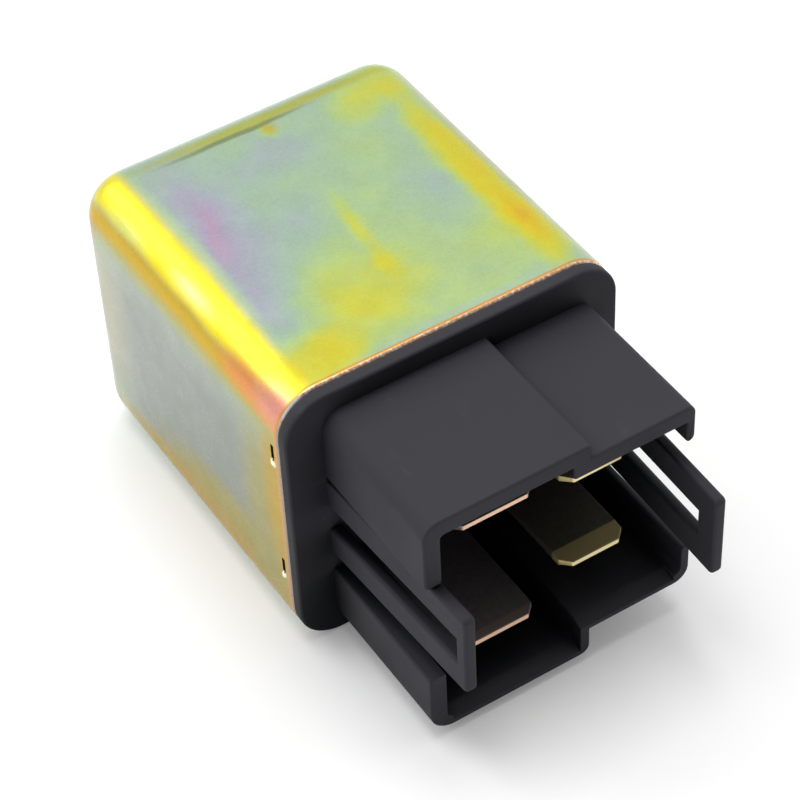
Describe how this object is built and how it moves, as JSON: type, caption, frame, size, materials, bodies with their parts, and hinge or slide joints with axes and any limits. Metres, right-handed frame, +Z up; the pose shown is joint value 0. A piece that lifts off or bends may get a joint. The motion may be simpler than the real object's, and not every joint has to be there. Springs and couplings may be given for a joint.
{
  "type": "automotive relay",
  "caption": "Relay in a drawn steel can, with a keyed four-blade connector and two ladder-shaped latch arms; coil, yoke, hinged armature and contacts inside.",
  "frame": {"origin": "middle of the can's lower side, halfway along the can's depth", "axes": "+X across the connector towards its lower half; +Y along the plug axis from the connector's mouth to the can's closed end; +Z up from the side it lies on"},
  "size_m": [0.032, 0.0545, 0.0279],
  "materials": {
    "yellow_zinc": "satin",
    "black_nylon": "satin",
    "seal_rubber": "matte",
    "copper": "satin",
    "blade_brass": "satin",
    "plated_iron": "satin",
    "rivet_steel": "satin",
    "bobbin_nylon": "satin",
    "enamelled_wire": "gloss",
    "film_tape": "gloss",
    "resistor_ceramic": "satin",
    "silver_alloy": "satin",
    "spring_bronze": "satin",
    "spring_steel": "gloss"
  },
  "bodies": {
    "relay": {"can": "yellow_zinc", "base": "black_nylon", "base_seal": "seal_rubber", "feed_terminal": "copper", "load_terminal": "copper", "coil_terminal_upper": "blade_brass", "coil_terminal_lower": "blade_brass", "yoke": "plated_iron", "core": "plated_iron", "bobbin": "bobbin_nylon", "coil_winding": "enamelled_wire", "coil_leads": "enamelled_wire", "winding_tape": "film_tape", "suppression_resistor": "resistor_ceramic", "fixed_contact": "silver_alloy", "return_spring": "spring_steel", "flexible_braid": "copper"},
    "armature_assembly": {"armature": "plated_iron", "contact_arm": "spring_bronze", "armature_rivets": "rivet_steel", "moving_contact": "silver_alloy"}
  },
  "joints": [
    {"name": "armature_hinge", "type": "hinge", "parent": "relay", "child": "armature_assembly", "pos_m": [0.0117, 0.00908, 0.01395], "axis": [0, 0, 1], "range_deg": [0, 2.2], "stiffness_Nm_per_rad": 0.02, "springref_deg": -10, "deforming": ["return_spring", "flexible_braid"]}
  ]
}
